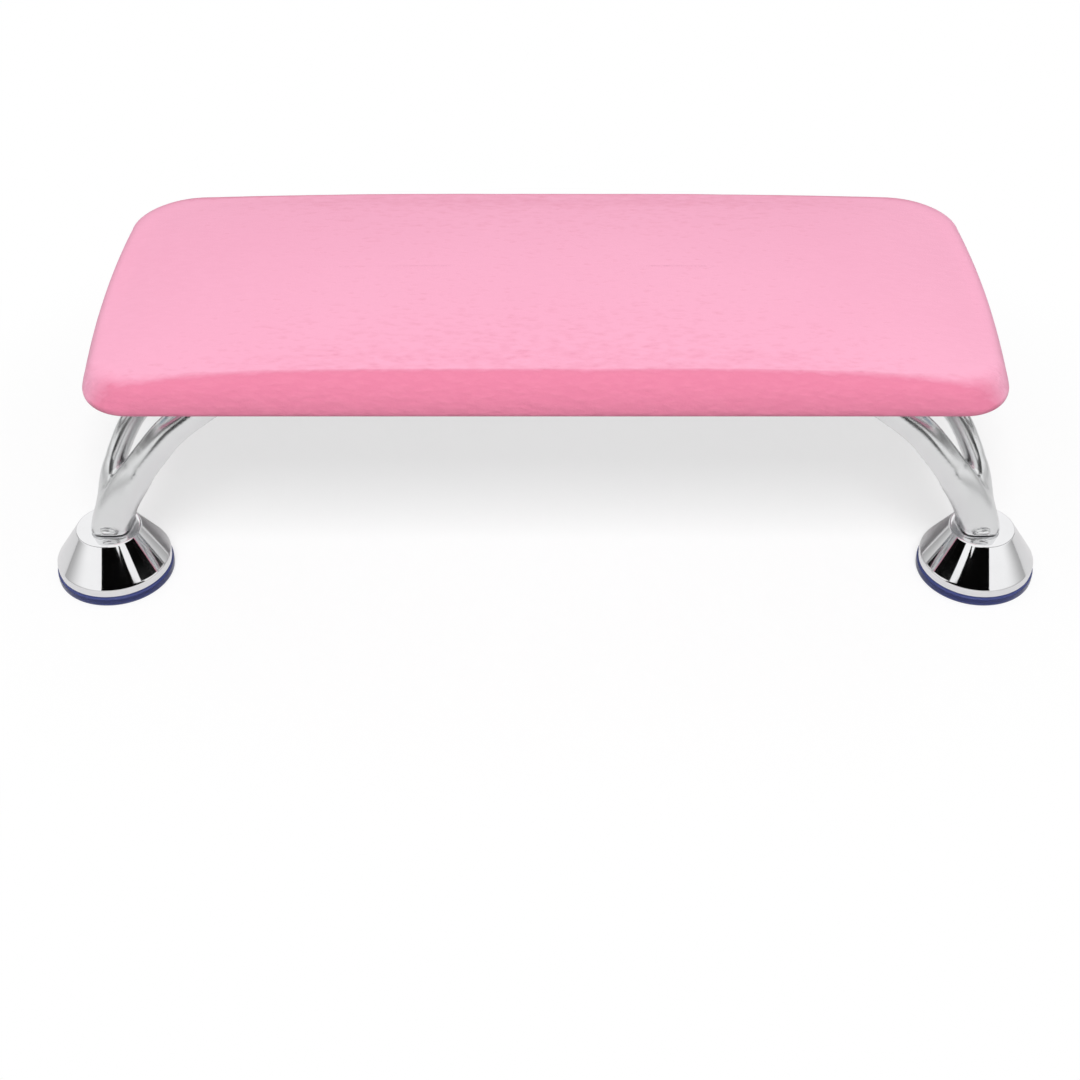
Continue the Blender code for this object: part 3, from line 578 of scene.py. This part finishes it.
def pad_rings(lap):
    """Rings of (x, y, z) over the pad's side, roll and crown, drawn in by lap."""
    edge_z = PAD_HIGH.z - CROWN
    roll_z = edge_z - TOP_ROLL_DROP
    rings = []
    for step in range(BOTTOM_ROLL_STEPS + 1):
        angle = math.pi / 2 * step / BOTTOM_ROLL_STEPS
        inset = lap + (BOTTOM_ROLL - lap) * (1 - math.sin(angle))
        z = PAD_LOW.z + lap + (BOTTOM_ROLL - lap) * (1 - math.cos(angle))
        rings.append([(p.x, p.y, z) for p in pad_outline(inset, SIDE_CORNER)])
    for step in range(TOP_ROLL_STEPS + 1):
        angle = math.pi / 2 * step / TOP_ROLL_STEPS
        level = squared(math.sin(angle), ROLL_SQUARENESS)
        inset = lap + (TOP_ROLL - lap) * (1 - squared(math.cos(angle), ROLL_SQUARENESS))
        z = roll_z + (TOP_ROLL_DROP - lap) * level
        corner = SIDE_CORNER + (TOP_CORNER - SIDE_CORNER) * angle / (math.pi / 2)
        ring = pad_outline(inset, corner)
        rings.append([(p.x, p.y, z + crown(p.x, p.y, inset) - sunk(p.x, level)) for p in ring])
    middle = (PAD_HIGH.y - PAD_LOW.y) / 2 - TOP_ROLL
    for step in range(1, CROWN_STEPS + 1):
        inset = TOP_ROLL + (middle - MIDDLE_STRIP) * step / CROWN_STEPS
        ring = pad_outline(inset, TOP_CORNER)
        rings.append([(p.x, p.y, edge_z - lap + crown(p.x, p.y, inset) - sunk(p.x, 1.0)) for p in ring])
    return rings


def skinned(rings, close_low, close_high):
    """A bmesh over rings of points, with its ends left open or closed by a face."""
    bm = bmesh.new()
    rows = [[bm.verts.new(point) for point in ring] for ring in rings]
    count = len(rows[0])
    for low, high in zip(rows, rows[1:]):
        for i in range(count):
            j = (i + 1) % count
            bm.faces.new((low[i], low[j], high[j], high[i]))
    if close_low:
        bm.faces.new(list(reversed(rows[0])))
    if close_high:
        bm.faces.new(rows[-1])
    return bm


# Pad


def make_leather():
    """The stretched cover, wrapped round the edge and hemmed in under it, with the waves of soft foam."""
    rings = pad_rings(0.0)
    for step in range(HEM_STEPS):
        inset = BOTTOM_ROLL + SEAM_WIDTH * (step + 1) / HEM_STEPS
        rings.insert(0, [(p.x, p.y, PAD_LOW.z) for p in pad_outline(inset, SIDE_CORNER)])
    bm = skinned(rings, False, True)
    floor = PAD_LOW.z + BOTTOM_ROLL
    for vert in bm.verts:
        rise = min(max((vert.co.z - floor) / WAVE_RISE, 0.0), 1.0)
        wave = noise.noise(vert.co * BROAD_WAVES) + FINE_WAVE_SHARE * noise.noise(vert.co * FINE_WAVES)
        vert.co.z -= UNEVENNESS * rise * (WAVE_SHARE + WAVE_SHARE * wave)
    mesh = finished(bm, "leather_cover", 60)
    mesh = applied(mesh, ("SOLIDIFY", {"thickness": LEATHER_THICKNESS, "offset": -1.0}))
    cover = piece("leather_cover", mesh, LEATHER, "pink_leather", "pad_cover")


def make_foam():
    """The sponge under the leather, closed and flat underneath where it lies on the board."""
    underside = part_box("base_board")[0].z
    rings = [ring for ring in pad_rings(FOAM_LAP) if ring[0][2] > underside + FOAM_SIDE_RISE]
    seat = pad_outline(FOAM_SEAT_INSET, SIDE_CORNER)
    rings.insert(0, [(p.x, p.y, underside + FOAM_SEAT_RISE) for p in seat])
    mesh = finished(skinned(rings, True, True), "foam_block", 50)
    foam = piece("foam_block", mesh, FOAM, "foam", "foam_core")


# Legs


def curve_point(line, share):
    """A point on a smooth curve through the line's points, at a share from 0 to 1 of the way along."""
    last = len(line) - 1
    place = min(share * last, last - 1e-9)
    index = int(place)
    t = place - index
    before = Vector(line[max(index - 1, 0)])
    start = Vector(line[index])
    end = Vector(line[index + 1])
    after = Vector(line[min(index + 2, last)])
    bend = 2 * before - 5 * start + 4 * end - after
    turn = 3 * start - before - 3 * end + after
    return 0.5 * (2 * start + (end - before) * t + bend * t * t + turn * t ** 3)


def arm_point(line, share):
    x, y, rise = curve_point(line, share)
    return Vector((x, y, POST_FOOT_Z + rise * (PLATE_FACE_Z - POST_FOOT_Z)))


def arm_section(width, thickness, recess, rim, squareness):
    """(across, out) points of an arm's section: domed outside, round shoulders, recessed on the inside."""
    half = width / 2
    back = -thickness / 2
    points = []
    for step in range(DOME_STEPS + 1):
        angle = math.pi * (1 - step / DOME_STEPS)
        across = half * squared(math.cos(angle), squareness)
        points.append((across, back + thickness * squared(math.sin(angle), squareness)))
    points.append((half - rim, back))
    points.append((half - rim * RECESS_WALL_SHARE, back + recess))
    points.append((-half + rim * RECESS_WALL_SHARE, back + recess))
    points.append((-half + rim, back))
    return points


def arm_bm(line, width, thickness, root_inset):
    """An arm lofted along its line in fine steps, a skin thicker than the CAD's, which it covers."""
    root_width = POST_WIDTH - 2 * root_inset
    root_depth = POST_DEPTH - 2 * root_inset
    rings = []
    for station in range(ARM_STATIONS):
        share = station / (ARM_STATIONS - 1)
        centre = arm_point(line, share)
        ahead = arm_point(line, min(share + TANGENT_REACH, 1.0))
        behind = arm_point(line, max(share - TANGENT_REACH, 0.0))
        tangent = (ahead - behind).normalized()
        upright = max(1 - share / POST_UPRIGHT_END, 0.0)
        tangent = tangent.lerp(UP, upright).normalized()
        across = POST_ACROSS.lerp(LANDING_ACROSS, min(share / ARM_TWIST_END, 1.0))
        across = (across - tangent * across.dot(tangent)).normalized()
        out = across.cross(tangent)
        blend = min(share / ARM_BLEND_END, 1.0)
        here_width = root_width + (width - root_width) * blend + 2 * SKIN
        here_depth = root_depth + (thickness - root_depth) * blend + 2 * SKIN
        recess = POST_RECESS + (ARM_RECESS - POST_RECESS) * blend
        rim = POST_RIM + (ARM_RIM - POST_RIM) * blend
        squareness = POST_SQUARENESS + (ARM_SQUARENESS - POST_SQUARENESS) * blend
        section = arm_section(here_width, here_depth, recess, rim, squareness)
        rings.append([centre + across * a + out * b for a, b in section])
    bm = skinned(rings, True, True)
    whole = bm.verts[:] + bm.edges[:] + bm.faces[:]
    bmesh.ops.bisect_plane(bm, geom=whole, plane_co=UP * ARM_CEILING_Z, plane_no=UP, clear_outer=True)
    bmesh.ops.holes_fill(bm, edges=[edge for edge in bm.edges if edge.is_boundary])
    bmesh.ops.recalc_face_normals(bm, faces=bm.faces)
    return bm


def casting_mesh():
    """The front left casting about its foot's axis: the CAD's leg under smooth arms, melted into one."""
    mesh = NODES["leg_front_left"].data.copy()
    mesh.materials.clear()
    mesh.transform(Matrix.Translation(-foot_place("front_left")))
    whole = bmesh.new()
    whole.from_mesh(mesh)
    for line, width, thickness, inset in (
        (FRONT_ARM_LINE, FRONT_ARM_WIDTH, FRONT_ARM_THICKNESS, 0.0),
        (SIDE_ARM_LINE, SIDE_ARM_WIDTH, SIDE_ARM_THICKNESS, SIDE_ARM_ROOT_INSET),
    ):
        arm = arm_bm(line, width, thickness, inset)
        arm.to_mesh(mesh)
        arm.free()
        whole.from_mesh(mesh)
    bmesh.ops.remove_doubles(whole, verts=whole.verts, dist=0.000001)
    whole.to_mesh(mesh)
    whole.free()
    mesh = applied(
        mesh,
        ("REMESH", {"mode": "VOXEL", "voxel_size": CASTING_VOXEL, "use_smooth_shade": True}),
        ("SMOOTH", {"factor": 0.5, "iterations": CASTING_SMOOTHING}),
    )
    dimple = bmesh.new()
    centre = Matrix.Translation(DIMPLE_CENTRE) @ Matrix.Diagonal((*DIMPLE_SIZE, 1.0))
    bmesh.ops.create_uvsphere(dimple, u_segments=48, v_segments=24, radius=0.5, matrix=centre)
    cutter = bpy.data.objects.new("dimple", finished(dimple, "dimple"))
    bpy.context.scene.collection.objects.link(cutter)
    mesh = applied(mesh, ("BOOLEAN", {"operation": "DIFFERENCE", "solver": "EXACT", "object": cutter}))
    bpy.data.objects.remove(cutter)
    mesh.materials.clear()
    mesh.shade_smooth()
    return mesh


def make_castings():
    """Left and right castings. Each serves a front corner and, turned half round, the opposite rear one."""
    plain = casting_mesh()
    mirrored = plain.copy()
    mirrored.transform(Matrix.Diagonal((-1.0, 1.0, 1.0, 1.0)))
    mirrored.flip_normals()
    for corner, (sx, sy) in CORNERS.items():
        mesh = plain if sx == sy else mirrored
        turn = 0.0 if sy < 0 else math.pi
        node = "leg_" + corner
        place = foot_place(corner)
        piece("casting_" + corner, mesh, CAST_CHROME, "chrome_casting", node, location=place, turn=turn)


# Feet


def foot_place(corner):
    """Where the axis of this corner's foot meets the table."""
    low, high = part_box("foot_bell_" + corner)
    return Vector(((low.x + high.x) / 2, (low.y + high.y) / 2, 0.0))


def bell_mesh():
    """The bell over a foot, open underneath, with a short upright lip."""
    low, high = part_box("foot_bell_front_left")
    outer = (high.x - low.x) / 2
    top = 12.5 * MM
    wall = 1.3 * MM
    lip = low.z + 3.6 * MM
    hole = 2.6 * MM
    outline = [
        (hole, high.z - wall),
        (hole, high.z),
        (top, high.z),
        (outer - 0.2 * MM, lip),
        (outer, lip - 0.5 * MM),
        (outer, low.z),
        (outer - wall, low.z),
        (outer - wall, lip - 0.5 * MM),
        (top - wall, high.z - wall),
        (hole, high.z - wall),
    ]
    return finished(turned(held_straight(eased(outline, 0.55 * MM)[:-1]), True, BELL_SEGMENTS), "bell", 50)


def cup_mesh():
    """The suction cup and its hub. Its rim is marked for a deeper colour: partly thick vinyl's own deeper
    colour, partly painted shade of the bell over it.
    """
    low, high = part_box("suction_cup_front_left")
    outer = (high.x - low.x) / 2
    hub = 8.5 * MM
    edge = 3.6 * MM
    seat = 9.8 * MM
    hole = 2.6 * MM
    outline = [
        (hole, 5.0 * MM),
        (hole, high.z),
        (hub, high.z),
        (hub + 0.8 * MM, edge + 5 * MM),
        (hub + 3.5 * MM, edge),
        (outer, edge),
        (outer, 0.0),
        (outer - 3 * MM, 0.0),
        (outer - 6 * MM, 0.9 * MM),
        (seat + 1.5 * MM, 1.9 * MM),
        (seat, 1.9 * MM),
        (seat, 5.0 * MM),
        (hole, 5.0 * MM),
    ]
    mesh = finished(turned(eased(outline, 0.7 * MM)[:-1], True, CUP_SEGMENTS), "cup", 50)
    # Mask for the rim's deeper colour, which is partly painted shade.
    rim = mesh.attributes.new("rim", "FLOAT", "POINT")
    for vert in mesh.vertices:
        radius = vert.co.xy.length
        rim.data[vert.index].value = min(max((radius - (outer - 2.6 * MM)) / (1.8 * MM), 0.0), 1.0)
    return mesh


def bored(body, cutter_mesh):
    """The body less the cutter."""
    cutter = bpy.data.objects.new("cutter", cutter_mesh)
    bpy.context.scene.collection.objects.link(cutter)
    settings = {"operation": "DIFFERENCE", "solver": "EXACT", "use_self": True, "object": cutter}
    mesh = applied(body, ("BOOLEAN", settings))
    bpy.data.objects.remove(cutter)
    mesh.materials.clear()
    mesh.shade_smooth()
    mesh.set_sharp_from_angle(angle=math.radians(30))
    return mesh


def washer_mesh():
    """A plated hub washer: a flanged disc with recesses between the spokes on its lower face."""
    low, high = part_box("foot_washer_front_left")
    outer = (high.x - low.x) / 2
    inner = WASHER_HOLE
    outline = [(inner, low.z), (inner, high.z), (outer, high.z), (outer, low.z), (inner, low.z)]
    disc = finished(turned(eased(outline, 0.2 * MM, 3)[:-1], True, 96), "washer", 40)
    bm = bmesh.new()
    for spoke in range(WASHER_SPOKES):
        span = []
        for step in range(WASHER_RECESS_STEPS + 1):
            place = spoke + WASHER_SPOKE_SHARE + (1 - WASHER_SPOKE_SHARE) * step / WASHER_RECESS_STEPS
            span.append(math.tau * place / WASHER_SPOKES)
        ring = [(WASHER_RECESS_INNER, angle) for angle in span]
        ring += [(outer - WASHER_FLANGE, angle) for angle in reversed(span)]
        points = [Vector((radius * math.cos(angle), radius * math.sin(angle), 0.0)) for radius, angle in ring]
        lower = [bm.verts.new(point + UP * (low.z - WASHER_RECESS)) for point in points]
        upper = [bm.verts.new(point + UP * (low.z + WASHER_RECESS)) for point in points]
        bm.faces.new(lower)
        bm.faces.new(list(reversed(upper)))
        for i in range(len(points)):
            j = (i + 1) % len(points)
            bm.faces.new((lower[i], upper[i], upper[j], lower[j]))
    bmesh.ops.recalc_face_normals(bm, faces=bm.faces)
    mesh = bored(disc, finished(bm, "recesses"))
    mesh.name = "washer"
    return mesh


def screw_mesh(name, node, head_height):
    """A pan-head screw, head down, with a cross recess. Its bearing face is at z = 0."""
    low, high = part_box(node)
    head = (high.x - low.x) / 2
    length = high.z - low.z - head_height
    shank = SHANK_RADIUS
    outline = [
        (0.0, length),
        (shank * 0.4, length),
        (shank, length - shank),
        (shank, 0.0),
        (head, 0.0),
        (head, -head_height * 0.3),
        (head * 0.8, -head_height * 0.85),
        (head * 0.4, -head_height),
        (0.0, -head_height),
    ]
    body = finished(turned(eased(outline, 0.5 * MM, 4), False, 48), name)
    bm = bmesh.new()
    for turn in (0.0, math.pi / 2):
        slot = Matrix.Translation((0.0, 0.0, -head_height)) @ Matrix.Rotation(turn, 4, "Z")
        slot = slot @ Matrix.Diagonal((CROSS_WIDTH, head * CROSS_LENGTH_SHARE, 2 * CROSS_DEPTH, 1.0))
        made = bmesh.ops.create_cube(bm, size=1.0, matrix=slot)
        for vert in made["verts"]:
            if vert.co.z > -head_height:
                vert.co.x *= CROSS_TAPER
                vert.co.y *= CROSS_TAPER
    mesh = bored(body, finished(bm, "cross"))
    mesh.name = name
    return mesh


def make_feet():
    bell = bell_mesh()
    cup = cup_mesh()
    washer = washer_mesh()
    bolt = screw_mesh("foot_bolt", "foot_screw_front_left", FOOT_SCREW_HEAD)
    for corner in CORNERS:
        place = foot_place(corner)
        piece("bell_" + corner, bell, SPUN_CHROME, "chrome_foot", "foot_bell_" + corner, location=place)
        piece("cup_" + corner, cup, VINYL, "clear_blue_vinyl", "suction_cup_" + corner, location=place)
        slot = "zinc_foot_hardware"
        piece("washer_" + corner, washer, FOOT_ZINC, slot, "foot_washer_" + corner, location=place)
        bearing = place + UP * (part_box("foot_screw_" + corner)[0].z + FOOT_SCREW_HEAD)
        piece("bolt_" + corner, bolt, FOOT_ZINC, slot, "foot_screw_" + corner, location=bearing)


def make_fixings():
    """The screws through the leg plates, each turned differently as a driver leaves them."""
    mesh = screw_mesh("fixing", "screw_front_left_pocket", PLATE_SCREW_HEAD)
    for index, (corner, screw) in enumerate((c, s) for c in CORNERS for s in SCREWS):
        node = f"screw_{corner}_{screw}"
        low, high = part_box(node)
        place = ((low.x + high.x) / 2, (low.y + high.y) / 2, low.z + PLATE_SCREW_HEAD)
        name = f"fixing_{corner}_{screw}"
        piece(name, mesh, SCREW_ZINC, "blue_zinc", node, location=place, turn=SCREW_TURN * index)


def dress_board():
    board = NODES["base_board"]
    board.data.materials.clear()
    board.data.materials.append(PLASTIC)
    board.data.shade_smooth()
    board.data.set_sharp_from_angle(angle=math.radians(25))


# Stage


def staged_card(name, corners, material):
    """A flat card that isn't part of the object."""
    bm = bmesh.new()
    bm.faces.new([bm.verts.new(corner) for corner in corners])
    mesh = bpy.data.meshes.new(name)
    bm.to_mesh(mesh)
    bm.free()
    mesh.materials.append(material)
    card = bpy.data.objects.new(name, mesh)
    bpy.context.scene.collection.objects.link(card)
    return card


def plain_material(name, colour, roughness):
    material = bpy.data.materials.new(name)
    material.use_nodes = True
    shader = material.node_tree.nodes["Principled BSDF"]
    shader.inputs["Base Color"].default_value = (*colour, 1.0)
    shader.inputs["Roughness"].default_value = roughness
    shader.inputs["Specular IOR Level"].default_value = 0.0
    return material


def on_rays(tree, *kinds):
    """1 on rays of these kinds, and 0 on all others."""
    rays = tree.nodes.new("ShaderNodeLightPath")
    factor = rays.outputs[kinds[0]]
    for kind in kinds[1:]:
        either = tree.nodes.new("ShaderNodeMath")
        either.operation = "MAXIMUM"
        tree.links.new(factor, either.inputs[0])
        tree.links.new(rays.outputs[kind], either.inputs[1])
        factor = either.outputs[0]
    return factor


def floor_material():
    """A pale floor with a light shadow, dimmer as a light than where it is seen, and clear from below."""
    material = plain_material("floor", (FLOOR_BOUNCE,) * 3, 1.0)
    tree = material.node_tree
    lit = tree.nodes.new("ShaderNodeBsdfDiffuse")
    lit.inputs["Color"].default_value = (FLOOR_SEEN, FLOOR_SEEN, FLOOR_SEEN, 1.0)
    white = tree.nodes.new("ShaderNodeEmission")
    seen = tree.nodes.new("ShaderNodeMixShader")
    tree.links.new(lit.outputs[0], seen.inputs[1])
    tree.links.new(white.outputs[0], seen.inputs[2])
    squeeze = tree.nodes.new("ShaderNodeVectorMath")
    squeeze.operation = "MULTIPLY"
    squeeze.inputs[1].default_value = (1 / FLOOR_SHADE_REACH[0], 1 / FLOOR_SHADE_REACH[1], 0.0)
    tree.links.new(tree.nodes.new("ShaderNodeNewGeometry").outputs["Position"], squeeze.inputs[0])
    reach = tree.nodes.new("ShaderNodeVectorMath")
    reach.operation = "LENGTH"
    tree.links.new(squeeze.outputs[0], reach.inputs[0])
    fade = tree.nodes.new("ShaderNodeMapRange")
    fade.interpolation_type = "SMOOTHSTEP"
    fade.inputs["From Min"].default_value = FLOOR_FADE_START
    fade.inputs["From Max"].default_value = 1.0
    fade.inputs["To Min"].default_value = FLOOR_WHITE_SHARE
    fade.inputs["To Max"].default_value = 1.0
    tree.links.new(reach.outputs["Value"], fade.inputs["Value"])
    tree.links.new(fade.outputs["Result"], seen.inputs["Fac"])
    mirrored = tree.nodes.new("ShaderNodeBsdfDiffuse")
    mirrored.inputs["Color"].default_value = (FLOOR_MIRRORED, FLOOR_MIRRORED, FLOOR_MIRRORED, 1.0)
    unseen = tree.nodes.new("ShaderNodeMixShader")
    tree.links.new(on_rays(tree, "Is Glossy Ray"), unseen.inputs["Fac"])
    tree.links.new(tree.nodes["Principled BSDF"].outputs[0], unseen.inputs[1])
    tree.links.new(mirrored.outputs[0], unseen.inputs[2])
    whole = tree.nodes.new("ShaderNodeMixShader")
    tree.links.new(on_rays(tree, "Is Camera Ray", "Is Transmission Ray"), whole.inputs["Fac"])
    tree.links.new(unseen.outputs[0], whole.inputs[1])
    tree.links.new(seen.outputs[0], whole.inputs[2])
    under = tree.nodes.new("ShaderNodeMixShader")
    tree.links.new(tree.nodes.new("ShaderNodeNewGeometry").outputs["Backfacing"], under.inputs["Fac"])
    tree.links.new(whole.outputs[0], under.inputs[1])
    tree.links.new(tree.nodes.new("ShaderNodeBsdfTransparent").outputs[0], under.inputs[2])
    tree.links.new(under.outputs[0], tree.nodes["Material Output"].inputs["Surface"])
    return material


def make_stage():
    """The floor, and black cards that only metal sees."""
    half = FLOOR_HALF_SIZE
    floor = [(-half, -half, 0.0), (half, -half, 0.0), (half, half, 0.0), (-half, half, 0.0)]
    staged_card("floor", floor, floor_material())
    black = plain_material("black_card", (CARD_BLACK,) * 3, 1.0)
    for hand, side in (("left", -1), ("right", 1)):
        for name, corners in (("low", LOW_CARD), ("high", HIGH_CARD), ("side", SIDE_CARD)):
            card = staged_card(name + "_card_" + hand, [(side * x, y, z) for x, y, z in corners], black)
            card.visible_camera = False
            card.visible_diffuse = False
            card.visible_shadow = False
            card.visible_transmission = False


def make_world():
    """An even white surround. Metal sees it grey near the floor, and as a lamp it is dimmer."""
    world = bpy.data.worlds.new("surround")
    bpy.context.scene.world = world
    world.use_nodes = True
    tree = world.node_tree
    lamp = tree.nodes["Background"]
    lamp.inputs["Color"].default_value = (1.0, 1.0, 1.0, 1.0)
    lamp.inputs["Strength"].default_value = WORLD_LIGHT
    direction = tree.nodes.new("ShaderNodeTexCoord")
    split = tree.nodes.new("ShaderNodeSeparateXYZ")
    tree.links.new(direction.outputs["Generated"], split.inputs[0])
    haze = tree.nodes.new("ShaderNodeMapRange")
    haze.interpolation_type = "SMOOTHSTEP"
    haze.inputs["From Min"].default_value = 0.0
    haze.inputs["From Max"].default_value = HORIZON_TOP
    haze.inputs["To Min"].default_value = HORIZON_GREY
    haze.inputs["To Max"].default_value = 1.0
    tree.links.new(split.outputs["Z"], haze.inputs["Value"])
    rays = tree.nodes.new("ShaderNodeLightPath")
    strength = tree.nodes.new("ShaderNodeMix")
    strength.data_type = "FLOAT"
    tree.links.new(rays.outputs["Is Glossy Ray"], strength.inputs["Factor"])
    strength.inputs[2].default_value = 1.0
    tree.links.new(haze.outputs["Result"], strength.inputs[3])
    seen = tree.nodes.new("ShaderNodeBackground")
    seen.inputs["Color"].default_value = (1.0, 1.0, 1.0, 1.0)
    tree.links.new(strength.outputs[0], seen.inputs["Strength"])
    mix = tree.nodes.new("ShaderNodeMixShader")
    tree.links.new(on_rays(tree, "Is Camera Ray", "Is Glossy Ray", "Is Transmission Ray"), mix.inputs["Fac"])
    tree.links.new(lamp.outputs[0], mix.inputs[1])
    tree.links.new(seen.outputs[0], mix.inputs[2])
    tree.links.new(mix.outputs[0], tree.nodes["World Output"].inputs["Surface"])


def in_front(elevation):
    """The direction to a place in front of the object, this high up in radians."""
    return Vector((0.0, -math.cos(elevation), math.sin(elevation)))


def make_key_lamp():
    """A soft square lamp aimed at the pad, which metal doesn't mirror."""
    lamp = bpy.data.lights.new("key", "AREA")
    lamp.shape = "SQUARE"
    lamp.size = KEY_SIZE
    lamp.energy = KEY_POWER
    obj = bpy.data.objects.new("key", lamp)
    bpy.context.scene.collection.objects.link(obj)
    away = in_front(KEY_ELEVATION)
    obj.location = KEY_TARGET + away * KEY_DISTANCE
    obj.rotation_euler = away.to_track_quat("Z", "Y").to_euler()
    obj.visible_glossy = False


def make_camera():
    camera = bpy.data.cameras.new("camera")
    camera.lens = CAMERA_LENS
    camera.sensor_width = CAMERA_SENSOR
    obj = bpy.data.objects.new("camera", camera)
    bpy.context.scene.collection.objects.link(obj)
    away = in_front(CAMERA_ELEVATION)
    obj.location = CAMERA_TARGET + away * CAMERA_DISTANCE
    obj.rotation_euler = away.to_track_quat("Z", "Y").to_euler()
    bpy.context.scene.camera = obj


make_leather()
make_foam()
make_castings()
make_feet()
make_fixings()
dress_board()
make_stage()
make_world()
make_key_lamp()
make_camera()
bpy.context.scene.view_settings.view_transform = "Standard"
